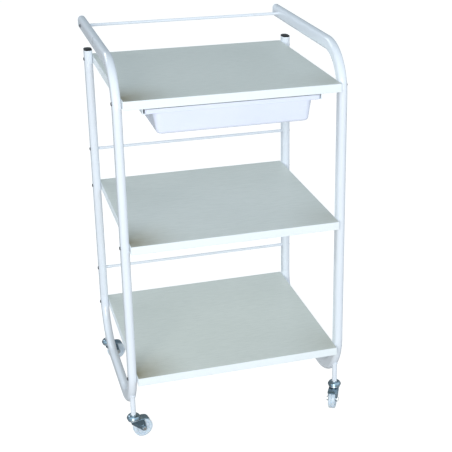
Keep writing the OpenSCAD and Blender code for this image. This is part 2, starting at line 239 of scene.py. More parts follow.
def combine(bm, other, operation):
    """The solids bm and other after a boolean; both are used up, and a new bmesh comes back."""
    meshes = []
    for part in (bm, other):
        bmesh.ops.recalc_face_normals(part, faces=part.faces)
        mesh = bpy.data.meshes.new("part")
        part.to_mesh(mesh)
        part.free()
        meshes.append(mesh)
    target, tool = (placed("part", mesh) for mesh in meshes)
    boolean = target.modifiers.new("boolean", "BOOLEAN")
    boolean.operation = operation
    boolean.solver = "EXACT"
    boolean.use_self = True
    boolean.object = tool
    result = bmesh.new()
    result.from_object(target, bpy.context.evaluated_depsgraph_get())
    for obj in (target, tool):
        bpy.data.objects.remove(obj)
    return result


def cut(bm, cutter):
    """The solid bm less the solid cutter."""
    return combine(bm, cutter, "DIFFERENCE")


def join(bm, other):
    """The solids bm and other as one."""
    return combine(bm, other, "UNION")


def placed(name, data):
    """A new object of data in the scene."""
    obj = bpy.data.objects.new(name, data)
    bpy.context.collection.objects.link(obj)
    return obj


def piece(name, bm, finish, body, nodes, sharp=35):
    """A finished piece from bm, riding on body and standing for the CAD nodes."""
    bmesh.ops.recalc_face_normals(bm, faces=bm.faces)
    mesh = bpy.data.meshes.new(name)
    bm.to_mesh(mesh)
    bm.free()
    mesh.shade_smooth()
    mesh.set_sharp_from_angle(angle=radians(sharp))
    mesh.materials.append(finish)
    obj = placed(name, mesh)
    even = obj.modifiers.new("even", "WEIGHTED_NORMAL")
    even.keep_sharp = True
    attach(obj, body)
    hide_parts(*nodes)
    return obj


# ---------- finishes


class Nodes:
    """A node tree in the making."""

    def __init__(self, tree):
        self.tree = tree

    def add(self, kind, inputs, **settings):
        """A shader node with its settings, its inputs set or linked by name or number."""
        node = self.tree.nodes.new("ShaderNode" + kind)
        for key, value in settings.items():
            setattr(node, key, value)
        for key, value in inputs.items():
            if isinstance(value, bpy.types.NodeSocket):
                self.tree.links.new(value, node.inputs[key])
            else:
                node.inputs[key].default_value = value
        return node

    def remap(self, value, low, high, out_low, out_high):
        """value carried from low..high to out_low..out_high, and clamped there."""
        node = self.add("MapRange", {0: value, 1: low, 2: high, 3: out_low, 4: out_high})
        return node.outputs[0]

    def times(self, a, b):
        """Product of two values."""
        return self.add("Math", {0: a, 1: b}, operation="MULTIPLY").outputs[0]

    def plus(self, a, b):
        """Sum of two values."""
        return self.add("Math", {0: a, 1: b}, operation="ADD").outputs[0]

    def mix(self, factor, a, b):
        """Colour a where factor is 0 and b where it is 1."""
        node = self.add("Mix", {0: factor, 6: a, 7: b}, data_type="RGBA")
        return node.outputs[2]


class Finish(Nodes):
    """A material in the making: a Principled shader and the textures that feed it."""

    def __init__(self, name, **constants):
        self.material = bpy.data.materials.new(name)
        self.material.use_nodes = True
        super().__init__(self.material.node_tree)
        self.shader = self.tree.nodes["Principled BSDF"]
        self.place = self.add("TexCoord", {}).outputs["Object"]
        for socket, value in constants.items():
            self.shader.inputs[socket.replace("_", " ")].default_value = value

    def noise(self, scale, detail=3.0, stretch=(1, 1, 1), rough=0.5):
        """Noise in 0..1 with features about 1/scale metres across, drawn out by stretch."""
        place = self.add("Mapping", {"Vector": self.place, "Scale": stretch})
        node = self.add(
            "TexNoise",
            {"Vector": place.outputs[0], "Scale": scale, "Detail": detail, "Roughness": rough},
        )
        return node.outputs[0]

    def over(self, colour, pattern, low, high, most, tone):
        """colour under tone, which comes in up to most where pattern goes from low to high."""
        return self.mix(self.remap(pattern, low, high, 0.0, most), colour, rgb(*tone))

    def level_place(self):
        """Object-space place with its height taken out."""
        split = self.add("SeparateXYZ", {0: self.place}).outputs
        return self.add("CombineXYZ", {0: split["X"], 1: split["Y"]}).outputs[0]

    def height_of(self):
        """Object-space height above the floor."""
        return self.add("SeparateXYZ", {0: self.place}).outputs["Z"]

    def edges(self, low=0.52, high=0.6):
        """1 on convex edges, from the mesh's own curvature."""
        geometry = self.add("NewGeometry", {})
        return self.remap(geometry.outputs["Pointiness"], low, high, 0.0, 1.0)

    def finish(self, colour, rough, height, depth):
        """Links colour, roughness and a bump of height times depth metres."""
        bump = self.add("Bump", {"Height": height, "Distance": depth, "Strength": 1.0})
        links = self.tree.links
        links.new(colour, self.shader.inputs["Base Color"])
        links.new(rough, self.shader.inputs["Roughness"])
        links.new(bump.outputs[0], self.shader.inputs["Normal"])
        return self.material


def rgb(red, green, blue):
    """Linear colour with alpha from display values of 0..255."""
    linear = []
    for value in (red, green, blue):
        c = value / 255
        linear.append(c / 12.92 if c <= 0.04045 else ((c + 0.055) / 1.055) ** 2.4)
    return (*linear, 1.0)


def powder_coat():
    """White powder coat: orange peel, faint mottling, and scuffs that thicken near the floor."""
    f = Finish("powder_coat", Coat_Weight=0.7, Coat_Roughness=0.07, IOR=1.5)
    mottle = f.noise(9, 3)
    colour = f.mix(mottle, rgb(227, 232, 240), rgb(232, 236, 243))
    scuff = f.remap(f.noise(150, 5, (1, 1, 0.2)), 0.64, 0.74, 0.0, 0.14)
    low = f.remap(f.height_of(), 0.05, 0.3, 1.0, 0.12)
    colour = f.mix(f.times(scuff, low), colour, rgb(168, 174, 180))
    peel = f.noise(700, 2)
    rough = f.remap(f.plus(f.times(mottle, 0.5), scuff), 0.1, 0.6, 0.26, 0.36)
    return f.finish(colour, rough, peel, 0.00004)


def laminate():
    """Pale grey melamine: fine brushed grain, faint clouds, and a painted brownish shadow beside
    the front posts.
    """
    f = Finish("laminate", IOR=1.48, Coat_Weight=0.1, Coat_Roughness=0.25)
    grain = f.noise(520, 5, (0.07, 1, 1), 0.6)
    cloud = f.noise(6, 3)
    fibre = f.noise(900, 3, (0.05, 1, 1))
    colour = f.mix(cloud, rgb(220, 224, 218), rgb(226, 229, 224))
    colour = f.over(colour, grain, 0.4, 0.7, 0.45, (202, 207, 201))
    colour = f.over(colour, fibre, 0.62, 0.8, 0.5, (182, 189, 184))
    # Painted shadow: brownish shade painted onto the boards beside the front posts, strongest at
    # the left one.
    colour = f.mix(painted_shadow_at_posts(f), colour, rgb(140, 130, 98))
    rough = f.remap(f.plus(f.times(grain, 0.6), f.times(cloud, 0.4)), 0.25, 0.75, 0.34, 0.5)
    return f.finish(colour, rough, grain, 0.00003)


def painted_shadow_at_posts(f):
    """Strength of the painted brownish shadow where a front post meets the boards, fading inwards.
    """
    lo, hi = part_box("top_shelf_band")
    total = 0.0
    for side, most in ((lo.x, 0.85), (hi.x, 0.25)):
        away = f.add(
            "VectorMath",
            {0: f.level_place(), 1: (side, lo.y + POST_IN, 0.0)},
            operation="DISTANCE",
        )
        ragged = f.plus(away.outputs["Value"], f.times(f.noise(60, 3), 0.02))
        spread = f.remap(ragged, 0.015, 0.15, 1.0, 0.0)
        total = f.plus(f.times(f.times(spread, spread), most), total)
    return total


def banding():
    """White edge band: smooth PVC with fine trimming marks and faint yellowing."""
    f = Finish("banding", IOR=1.5, Coat_Weight=0.15, Coat_Roughness=0.2)
    marks = f.noise(900, 2, (1, 1, 0.05))
    cloud = f.noise(11, 3)
    colour = f.mix(cloud, rgb(232, 238, 241), rgb(240, 244, 246))
    colour = f.over(colour, marks, 0.55, 0.8, 0.3, (214, 220, 223))
    rough = f.remap(marks, 0.3, 0.7, 0.28, 0.44)
    return f.finish(colour, rough, marks, 0.00004)


def black_plastic():
    """Black moulded plastic: fine spark texture, greyed by handling."""
    f = Finish("black_plastic", IOR=1.38, Specular_IOR_Level=0.25)
    spark = f.noise(1500, 3)
    cloud = f.noise(60, 4)
    colour = f.mix(cloud, rgb(9, 9, 11), rgb(18, 19, 22))
    colour = f.mix(f.times(f.edges(), 0.2), colour, rgb(70, 73, 78))
    rough = f.remap(f.plus(f.times(spark, 0.5), f.times(cloud, 0.5)), 0.3, 0.7, 0.2, 0.36)
    return f.finish(colour, rough, spark, 0.00003)


def black_screw():
    """Blackened steel, with the coating rubbed off its edges."""
    f = Finish("black_screw", Metallic=0.6)
    cloud = f.noise(400, 4)
    colour = f.mix(cloud, rgb(38, 38, 42), rgb(62, 62, 68))
    colour = f.mix(f.times(f.edges(), 0.6), colour, rgb(150, 152, 158))
    rough = f.remap(cloud, 0.3, 0.7, 0.3, 0.5)
    return f.finish(colour, rough, f.noise(1800, 2), 0.00003)


def bright_zinc():
    """Bright zinc plate: slight blue and straw patches, fine scratches."""
    f = Finish("bright_zinc", Metallic=1.0)
    patch = f.noise(180, 4)
    scratch = f.noise(1400, 3, (1, 1, 0.08))
    colour = f.mix(patch, rgb(205, 210, 218), rgb(226, 224, 216))
    colour = f.over(colour, scratch, 0.6, 0.8, 0.4, (168, 172, 180))
    rough = f.remap(f.plus(f.times(patch, 0.4), f.times(scratch, 0.6)), 0.3, 0.7, 0.18, 0.36)
    return f.finish(colour, rough, scratch, 0.00003)


def dark_zinc():
    """Pressed steel with a blue-green passivated plate, brighter on its rubbed edges."""
    f = Finish("dark_zinc", Metallic=1.0)
    patch = f.noise(150, 5)
    drawn = f.noise(1100, 3, (1, 1, 0.1))
    colour = f.mix(patch, rgb(108, 132, 148), rgb(142, 162, 174))
    colour = f.mix(f.times(f.edges(), 0.7), colour, rgb(206, 216, 224))
    colour = f.over(colour, drawn, 0.55, 0.8, 0.35, (78, 98, 112))
    rough = f.remap(f.plus(f.times(patch, 0.5), f.times(drawn, 0.5)), 0.3, 0.7, 0.12, 0.28)
    return f.finish(colour, rough, drawn, 0.00003)


def cup_zinc():
    """Polished zinc of the bearing cups, with faint drawing rings and blue tarnish."""
    f = Finish("cup_zinc", Metallic=1.0)
    patch = f.noise(220, 4)
    rings = f.noise(1500, 2, (0.1, 0.1, 1))
    colour = f.mix(patch, rgb(112, 134, 148), rgb(160, 176, 186))
    colour = f.over(colour, rings, 0.6, 0.8, 0.3, (84, 102, 114))
    rough = f.remap(f.plus(f.times(patch, 0.5), f.times(rings, 0.5)), 0.3, 0.7, 0.07, 0.18)
    return f.finish(colour, rough, rings, 0.00002)


def runner_plastic():
    """White extruded plastic with draw lines along its length."""
    f = Finish("runner_plastic", IOR=1.48)
    draw = f.noise(1300, 2, (1, 0.02, 1))
    cloud = f.noise(20, 3)
    colour = f.mix(cloud, rgb(222, 230, 238), rgb(234, 240, 245))
    colour = f.over(colour, draw, 0.55, 0.8, 0.3, (204, 212, 222))
    rough = f.remap(draw, 0.3, 0.7, 0.32, 0.5)
    return f.finish(colour, rough, draw, 0.00005)


def drawer_plastic():
    """Glossy white moulded plastic: slight waviness, faint flow marks and hair scratches."""
    f = Finish(
        "drawer_plastic",
        IOR=1.5,
        Coat_Weight=0.4,
        Coat_Roughness=0.06,
        Subsurface_Weight=0.12,
        Subsurface_Scale=0.004,
        Subsurface_Radius=(0.8, 0.9, 1.0),
    )
    flow = f.noise(9, 3, (1, 1, 2.5))
    hair = f.noise(700, 4, (0.06, 1, 1))
    colour = f.mix(flow, rgb(220, 225, 243), rgb(229, 233, 248))
    colour = f.over(colour, hair, 0.64, 0.78, 0.25, (208, 215, 232))
    rough = f.remap(f.plus(f.times(flow, 0.5), f.times(hair, 0.5)), 0.3, 0.7, 0.14, 0.3)
    return f.finish(colour, rough, f.plus(f.noise(45, 2), f.times(hair, 0.12)), 0.0003)


def wheel_nylon():
    """Milky nylon: lets some light in, with turned rings, tread scuffs, road dust, and a painted
    highlight on its rounded edges.
    """
    f = Finish(
        "wheel_nylon",
        IOR=1.53,
        Subsurface_Weight=0.35,
        Subsurface_Scale=0.004,
        Subsurface_Radius=(0.7, 0.85, 1.0),
    )
    cloud = f.noise(120, 4)
    dust = f.remap(f.noise(420, 5), 0.56, 0.75, 0.0, 0.35)
    low = f.remap(f.height_of(), 0.0, 0.02, 1.0, 0.35)
    colour = f.mix(cloud, rgb(196, 208, 220), rgb(216, 226, 234))
    colour = f.mix(f.times(dust, low), colour, rgb(150, 156, 160))
    # Painted highlight: the wheel's rounded edges are painted lighter.
    colour = f.mix(f.times(f.edges(0.53, 0.62), 0.5), colour, rgb(236, 242, 248))
    rough = f.remap(f.plus(f.times(cloud, 0.5), dust), 0.2, 0.8, 0.28, 0.55)
    return f.finish(colour, rough, f.noise(800, 3), 0.00005)


FINISHES = {
    "white_powder_coat": powder_coat(),
    "shelf_laminate": laminate(),
    "edge_band": banding(),
    "black_plastic": black_plastic(),
    "black_screw": black_screw(),
    "zinc_plated_steel": bright_zinc(),
    "zinc_dark": dark_zinc(),
    "cup": cup_zinc(),
    "runner_plastic": runner_plastic(),
    "drawer_plastic": drawer_plastic(),
    "wheel_nylon": wheel_nylon(),
}


def make(name, bm, slot, body="frame", nodes=None, sharp=35, finish=None):
    """A piece in its slot's finish, standing for the CAD node of its name if none are given."""
    names = [name] if nodes is None else nodes
    return piece(name + "_mesh", bm, FINISHES[finish or slot], body, names, sharp)


def turned(name, profile, matrix, segments, slot, **rest):
    """A piece whose profile of (radius, height) points is turned about local Z of matrix."""
    bm = bmesh.new()
    lathe(bm, profile, matrix, segments)
    make(name, bm, slot, **rest)


# ---------- side frames


class Run:
    """The bent centre line of a side frame, from the rear post's top round to the handle's end."""

    def __init__(self, side):
        frame_lo, frame_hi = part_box(side + "_side_frame")
        self.x = (frame_lo.x + frame_hi.x) / 2
        self.front = frame_lo.y + TUBE_D / 2
        self.rear = middle("middle_guard_rod").y
        self.end = frame_hi.y
        self.rail = frame_lo.z + TUBE_D / 2
        self.handle = frame_hi.z - TUBE_D / 2
        self.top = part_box(side + "_post_cap")[1].z - CAP_H

    def bends(self):
        """Each bend: centre (y, z), radius, start angle, and its turn, in the order of the run."""
        low = self.rail + LOW_BEND
        high = self.handle - TOP_BEND
        return (
            ((self.rear - LOW_BEND, low), LOW_BEND, 0.0, -pi / 2),
            ((self.front + LOW_BEND, low), LOW_BEND, -pi / 2, -pi / 2),
            ((self.front + TOP_BEND, high), TOP_BEND, pi, -pi / 2),
        )

    def stations(self):
        """(place, direction out of the bends, crease depth, flattening) along the run."""
        ends = ((self.rear, self.top), (self.end, self.handle))
        rows = [(ends[0], 0.0, 0.0, 0.0)]
        rows.append(((self.rear, self.top - TUBE_WALL), 0.0, 0.0, 0.0))
        for (cy, cz), radius, start, turn in self.bends():
            rows += self.straight(cy, cz, radius, start, -turn)
            steps = 30
            for k in range(1, steps):
                t = k / steps
                arc = radius * abs(turn) * min(t, 1 - t)
                crease = CREASE_DEPTH * exp(-((arc / CREASE_REACH) ** 2))
                a = start + turn * t
                place = (cy + radius * cos(a), cz + radius * sin(a))
                rows.append((place, a, crease, BEND_FLAT * sin(pi * t)))
            rows += self.straight(cy, cz, radius, start + turn, turn)
        up = pi / 2
        rows.append(((self.end - TUBE_WALL, self.handle), up, 0.0, 0.0))
        rows.append((ends[1], up, 0.0, 0.0))
        return rows

    def straight(self, cy, cz, radius, angle, turn):
        """Stations over the crease on the straight side of one end of a bend."""
        along = angle + copysign(pi / 2, turn)
        reach = [CREASE_REACH * k / 2 for k in range(5)]
        if turn > 0:
            reach.reverse()
        rows = []
        for s in reach:
            place = (
                cy + radius * cos(angle) + s * cos(along),
                cz + radius * sin(angle) + s * sin(along),
            )
            rows.append((place, angle, CREASE_DEPTH * exp(-((s / CREASE_REACH) ** 2)), 0.0))
        return rows

    def ring(self, station, inset):
        """The tube's section at a station, inset from its skin, creased and flattened."""
        (y, z), angle, crease, flat = station
        points = []
        for x, n in oval(TUBE_W - 2 * inset, TUBE_D - 2 * inset, 14):
            inner = max(0.0, -n / (TUBE_D / 2))
            outer = max(0.0, n / (TUBE_D / 2))
            n += crease * inner**2 - flat * outer**2
            points.append(Vector((self.x + x, y + n * cos(angle), z + n * sin(angle))))
        return points

    def skin_height(self, x, y):
        """Height of the tube's underside at (x, y), on a lower bend."""
        for (cy, cz), radius, start, turn in self.bends()[:2]:
            if (y - cy) * cos(start + turn / 2) > 0:
                half = TUBE_W / 2
                reach = radius + TUBE_D / 2 - half + sqrt(half**2 - (x - self.x) ** 2)
                return cz - sqrt(reach**2 - (y - cy) ** 2)
        return self.rail - TUBE_D / 2


def side_frame(side):
    """One bent tube with its wall, creased where each bend begins and ends."""
    run = Run(side)
    rows = run.stations()
    burr = 0.3 * MM
    skin = [run.ring(row, burr if row in (rows[0], rows[-1]) else 0.0) for row in rows]
    bore = [run.ring(row, TUBE_WALL) for row in reversed(rows)]
    bm = bmesh.new()
    loft(bm, skin + bore, closed=True)
    make(side + "_side_frame", bm, "white_powder_coat", sharp=40)


def socket(caster):
    """A caster's socket tube and the rippled weld bead where it enters the bend."""
    lo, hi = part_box(caster + "_socket")
    centre = middle(caster + "_socket")
    radius = (hi.x - lo.x) / 2
    edge = 0.5 * MM
    bore = STEM_R + FIT
    bm = bmesh.new()
    corners = [(bore, lo.z, 0), (radius, lo.z, edge), (radius, hi.z, 0), (bore, hi.z, 0)]
    lathe(bm, fillet(corners), Matrix.Translation((centre.x, centre.y, 0)))
    run = Run(SIDES[0] if centre.x < 0 else SIDES[1])
    rings = []
    steps = 72
    ripples = 18
    for k in range(steps):
        a = 2 * pi * k / steps
        size = (1.5 + 0.22 * cos(ripples * a) + 0.1 * sin(3 * a)) * MM
        out = Vector((cos(a), sin(a), 0))
        seat = Vector((centre.x, centre.y, 0)) + out * radius
        seat.z = run.skin_height(seat.x, seat.y)
        ring = []
        for j in range(10):
            b = 2 * pi * j / 10
            ring.append(seat + out * size * cos(b) + Vector((0, 0, size * sin(b))))
        rings.append(ring)
    loft(bm, rings, closed=True)
    make(caster + "_socket", bm, "white_powder_coat")


def oval_plug(rows, matrix):
    """Closed solid through flat ovals of (inset from the tube's skin, height) rows."""
    bm = bmesh.new()
    rings = []
    for inset, height in rows:
        outline = oval(TUBE_W - 2 * inset, TUBE_D - 2 * inset)
        rings.append([matrix @ Vector((x, y, height)) for x, y in outline])
    loft(bm, rings)
    return bm


def post_cap(side):
    """Crowned cap on a rear post, with its ribbed plug inside the tube."""
    lo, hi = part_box(side + "_post_cap")
    base = hi.z - CAP_H
    plug = TUBE_WALL + FIT
    rows = [(plug + 0.8 * MM, lo.z - base), (plug, lo.z - base + 1 * MM)]
    for rib in range(3):
        at = (-8 + 2.6 * rib) * MM
        rows += [(plug, at), (plug + 0.5 * MM, at + 0.6 * MM), (plug, at + 1.2 * MM)]
    rows += [(plug, 0.0), (0.0, 0.0), (0.0, 1.5 * MM)]
    crown = 1.5 * MM
    rise = CAP_H - crown - 0.2 * MM
    for k in range(1, 5):
        a = pi / 2 * k / 4
        rows.append((2.2 * MM * (1 - cos(a)), crown + rise * sin(a)))
    rows += [(5 * MM, CAP_H - 0.05 * MM), (8 * MM, CAP_H)]
    place = Matrix.Translation(((lo.x + hi.x) / 2, (lo.y + hi.y) / 2, base))
    make(side + "_post_cap", oval_plug(rows, place), "black_plastic", sharp=50)


def handle_plug(side):
    """Plug in a handle's rear end, with a rim round its dished face."""
    lo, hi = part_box(side + "_handle_plug")
    centre = (lo + hi) / 2
    depth = hi.y - lo.y
    plug = TUBE_WALL + FIT
    rows = [
        (plug + 0.8 * MM, 0.0),
        (plug, 1.5 * MM),
        (plug, depth - 0.6 * MM),
        (plug + 0.2 * MM, depth - 0.15 * MM),
        (plug + 0.7 * MM, depth),
        (plug + 1.5 * MM, depth),
        (plug + 2.1 * MM, depth - 0.9 * MM),
        (plug + 4 * MM, depth - 1.0 * MM),
    ]
    place = Matrix.Translation((centre.x, lo.y, centre.z)) @ Matrix.Rotation(-pi / 2, 4, "X")
    make(side + "_handle_plug", oval_plug(rows, place), "black_plastic", sharp=50)


# ---------- shelves


def board(shelf):
    """A laminated board, its arrises eased."""
    lo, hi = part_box(shelf + "_shelf")
    ease = 0.25 * MM
    corner = 0.6 * MM
    rows = ((ease, lo.z), (0.0, lo.z + ease), (0.0, hi.z - ease), (ease, hi.z))
    rings = []
    for inset, z in rows:
        rings.append(rounded_rect(hi.x - inset, lo.y + inset, hi.y - inset, corner, z, 3))
    bm = bmesh.new()
    loft(bm, rings)
    make(shelf + "_shelf", bm, "shelf_laminate")


def edge_band(shelf):
    """The band glued round a board, its outer arrises rounded."""
    lo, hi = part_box(shelf + "_shelf_band")
    inner = BAND_T - 0.02 * MM
    corners = [(inner, lo.z, 0), (0.0, lo.z, ARRIS), (0.0, hi.z, ARRIS), (inner, hi.z, 0)]
    rings = []
    for inset, z in fillet(corners, 4):
        radius = 1.6 * MM - inset
        rings.append(rounded_rect(hi.x - inset, lo.y + inset, hi.y - inset, radius, z, 4))
    bm = bmesh.new()
    loft(bm, rings, closed=True)
    make(shelf + "_shelf_band", bm, "edge_band")


# ---------- rods and screws


def across(place, out):
    """Matrix that stands local +Z along +X or -X at a place, as out is 1 or -1."""
    return Matrix.Translation(place) @ Matrix.Rotation(out * pi / 2, 4, "Y")


def guard_rod(node):
    """A rod between the side frames, with a thicker ferrule at each end."""
    lo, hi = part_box(node)
    centre = (lo + hi) / 2
    radius = (hi.z - lo.z) / 2
    length = hi.x - lo.x
    ferrule = 14 * MM
    neck = 0.3 * MM
    corners = [
        (0, 0, 0),
        (radius, 0, 0.4 * MM),
        (radius, ferrule, 0.15 * MM),
        (radius - neck, ferrule, 0.05 * MM),
        (radius - neck, length - ferrule, 0.05 * MM),
        (radius, length - ferrule, 0.15 * MM),
        (radius, length, 0.4 * MM),
        (0, length, 0),
    ]
    profile = fillet(corners, 3)
    turned(node, profile, across((lo.x, centre.y, centre.z), 1), 32, "white_powder_coat")


def recess(bm, matrix, depth):
    """Cross-shaped driver recess, cut down from local z = 0."""
    long = 2.1 * MM
    wide = 0.55 * MM
    outline = []
    for k in range(4):
        a = pi / 2 * k
        c = cos(a)
        s = sin(a)
        for u, v in ((long, -wide), (long, wide), (wide, wide)):
            outline.append((u * c - v * s, u * s + v * c))
    low = [matrix @ Vector((x * 0.55, y * 0.55, -depth)) for x, y in outline]
    high = [matrix @ Vector((x, y, 0.3 * MM)) for x, y in outline]
    loft(bm, [low, high])


def pan_head_screws(node, places, length):
    """Pan-head screws at places of (point on the outer face, outward sign), with recesses."""
    dome = [(HEAD_R - 0.2 * MM, 0.0), (HEAD_R, 0.25 * MM), (HEAD_R - 0.1 * MM, 0.9 * MM)]
    dome += [(HEAD_R - 0.7 * MM, 1.6 * MM), (HEAD_R - 1.8 * MM, 2.05 * MM), (0.0, HEAD_H)]
    tip = 2 * MM
    profile = [(0.0, -length), (SHANK_R * 0.5, -length + 0.5 * tip), (SHANK_R, -length + tip)]
    profile += [(SHANK_R, 0.0)] + dome
    solid = bmesh.new()
    cutter = bmesh.new()
    for place, out in places:
        matrix = across(place, out)
        lathe(solid, profile, matrix, 28)
        recess(cutter, matrix @ Matrix.Translation((0, 0, HEAD_H)), 1.3 * MM)
    make(node, cut(solid, cutter), "black_screw", sharp=30)


def both_sides(left, right, y, z):
    """A screw's place in each outer face, and its outward sign, from the heads' outermost x."""
    return [(Vector((left + HEAD_H, y, z)), -1), (Vector((right - HEAD_H, y, z)), 1)]


def shelf_screws(shelf):
    """The four screws that hold one shelf between the side frames."""
    lo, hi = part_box(shelf + "_shelf_screws")
    length = hi.x - HEAD_H - board_side() + SHELF_SCREW_BITE
    height = (lo.z + hi.z) / 2
    places = []
    for y in (lo.y + HEAD_R, hi.y - HEAD_R):
        places += both_sides(lo.x, hi.x, y, height)
    pan_head_screws(shelf + "_shelf_screws", places, length)


def board_side():
    """Half the width of a shelf over its bands."""
    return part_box("top_shelf_band")[1].x


def rod_screws():
    """The six screws that hold the guard rods."""
    lo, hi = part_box("rod_screws")
    places = []
    for node in RODS:
        rod = middle(node)
        places += both_sides(lo.x, hi.x, rod.y, rod.z)
    pan_head_screws("rod_screws", places, TUBE_W + ROD_SCREW_BITE)


# ---------- drawer and runners


def screw_rows():
    """The y of the runner screws, from their node's box."""
    lo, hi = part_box("runner_screws")
    return lo.y + COUNTERSINK_R, hi.y - COUNTERSINK_R


def runner(side):
    """A channel that carries the drawer's rim: flange with countersunk holes, web and shelf."""
    lo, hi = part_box(side + "_runner")
    sign = -1 if side == "left" else 1
    inner = lo.x if sign > 0 else hi.x
    span = hi.x - lo.x
    drop = hi.z - lo.z
    corners = [
        (0, -RUNNER_TOP, 0.3 * MM),
        (0, 0, 0.3 * MM),
        (span, 0, 0.6 * MM),
        (span, -drop, 1.2 * MM),
        (0, -drop, 0.6 * MM),
        (0, -drop + RUNNER_WALL, 0.6 * MM),
        (span - RUNNER_WALL, -drop + RUNNER_WALL, 0.8 * MM),
        (span - RUNNER_WALL, -RUNNER_TOP, 0.8 * MM),
    ]
    rings = []
    for y in (lo.y, hi.y):
        rings.append([Vector((inner + sign * u, y, hi.z + v)) for u, v in fillet(corners, 3)])
    solid = bmesh.new()
    loft(solid, rings)
    cutter = bmesh.new()
    ease = 0.1 * MM
    profile = [
        (0, -1 * MM),
        (COUNTERSINK_R + ease, -1 * MM),
        (COUNTERSINK_R + ease, ease),
        (RUNNER_SHANK_R + ease, COUNTERSINK_H + ease),
        (RUNNER_SHANK_R + ease, RUNNER_TOP + 1 * MM),
        (0, RUNNER_TOP + 1 * MM),
    ]
    screw_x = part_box("runner_screws")[1].x - COUNTERSINK_R
    for y in screw_rows():
        lathe(cutter, profile, Matrix.Translation((sign * screw_x, y, hi.z - RUNNER_TOP)), 28)
    make(side + "_runner", cut(solid, cutter), "runner_plastic", sharp=30)


def runner_screws():
    """Countersunk screws that hold the runners to the board above."""
    lo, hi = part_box("runner_screws")
    length = hi.z - lo.z
    solid = bmesh.new()
    cutter = bmesh.new()
    profile = [
        (0, 0),
        (COUNTERSINK_R - 0.1 * MM, 0),
        (COUNTERSINK_R, 0.1 * MM),
        (RUNNER_SHANK_R, COUNTERSINK_H),
        (RUNNER_SHANK_R, length - 2 * MM),
        (0, length),
    ]
    flip = Matrix.Rotation(pi, 4, "X")
    for x in (lo.x + COUNTERSINK_R, hi.x - COUNTERSINK_R):
        for y in screw_rows():
            place = Matrix.Translation((x, y, lo.z))
            lathe(solid, profile, place, 28)
            recess(cutter, place @ flip, 1 * MM)
    make("runner_screws", cut(solid, cutter), "zinc_plated_steel", sharp=30)


def tray_ring(draft, inset, z):
    """Level ring round the drawer's body: draft runs 0..1 down its wall, inset narrows it."""
    lo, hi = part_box("drawer_tray")
    overlap = 0.2 * MM
    half = hi.x - TRAY_OVERHANG - draft * TRAY_SIDE_DRAFT - inset
    ends = TRAY_LIP - overlap + draft * TRAY_FRONT_DRAFT + inset
    radius = max(TRAY_ROUND - 0.5 * draft * TRAY_SIDE_DRAFT - 0.6 * inset, 1 * MM)
    return rounded_rect(half, lo.y + ends, hi.y - ends, radius, z, 10)


def rim_ring(inset, z):
    """Level ring round the drawer's rim, inset from its outer edge."""
    lo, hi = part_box("drawer_tray")
    radius = 6 * MM - 0.8 * inset
    return rounded_rect(hi.x - inset, lo.y + inset, hi.y - inset, radius, z, 8)


def tray_wall(base, foot, inset, top):
    """Rings up one skin of the drawer's body: rounded foot, drafted wall, and an upright top."""
    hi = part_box("drawer_tray")[1]
    rings = []
    steps = 7
    for k in range(steps + 1):
        a = pi / 2 * k / steps
        in_by = foot * (1 - sin(a))
        up_by = foot * (1 - cos(a))
        rings.append(tray_ring(1.0, inset + in_by, base + up_by))
    rings.append(tray_ring(0.0, inset, hi.z - TRAY_SKIRT - 1 * MM))
    rings.append(tray_ring(0.0, inset, top - 1 * MM))
    return rings


def drawer_tray():
    """The moulded drawer: drafted walls on a rounded foot, and a rim turned out and down."""
    lo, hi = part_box("drawer_tray")
    skirt = hi.z - TRAY_SKIRT
    rim = bmesh.new()
    rows = [(0.5, skirt), (0.0, skirt + 0.5 * MM), (0.0, hi.z - 1.8 * MM), (0.3, hi.z - 0.9 * MM)]
    rows += [(0.9, hi.z - 0.3 * MM), (1.8, hi.z)]
    loft(rim, [rim_ring(inset * MM, z) for inset, z in rows])
    under = bmesh.new()
    loft(under, [rim_ring(TRAY_LIP, z) for z in (skirt - 1 * MM, hi.z - TRAY_LIP)])
    body = bmesh.new()
    foot_ring = TRAY_FOOT + 10 * MM
    base = [tray_ring(1.0, foot_ring + 1 * MM, lo.z + 0.6 * MM), tray_ring(1.0, foot_ring, lo.z)]
    loft(body, base + tray_wall(lo.z, TRAY_FOOT, 0.0, hi.z))
    room = bmesh.new()
    wall = tray_wall(lo.z + TRAY_WALL, TRAY_FOOT - TRAY_WALL, TRAY_WALL, hi.z)
    mouth = [tray_ring(0.0, TRAY_WALL - 0.8 * MM, hi.z - 0.1 * MM)]
    mouth.append(tray_ring(0.0, TRAY_WALL - 0.8 * MM, hi.z + 1 * MM))
    loft(room, wall + mouth)
    solid = cut(join(cut(rim, under), body), room)
    make("drawer_tray", solid, "drawer_plastic", body="drawer", sharp=40)


# ---------- casters


class Caster:
    """Where one caster stands, with local +X from its swivel axis to its axle."""

    def __init__(self, name):
        self.name = name
        stem = middle(name + "_stem")
        wheel = middle(name + "_wheel")
        lead = wheel - stem
        self.angle = atan2(lead.y, lead.x)
        self.trail = hypot(lead.x, lead.y)
        self.axle = wheel.z
        self.radius = extent(name + "_wheel").z / 2
        self.place = Matrix.Translation((stem.x, stem.y, 0)) @ Matrix.Rotation(self.angle, 4, "Z")
        turn = Matrix.Rotation(-pi / 2, 4, "X")
        self.on_axle = self.place @ Matrix.Translation((self.trail, 0, self.axle)) @ turn
        self.swivel = name + "_swivel"
        self.roller = name + "_roller"


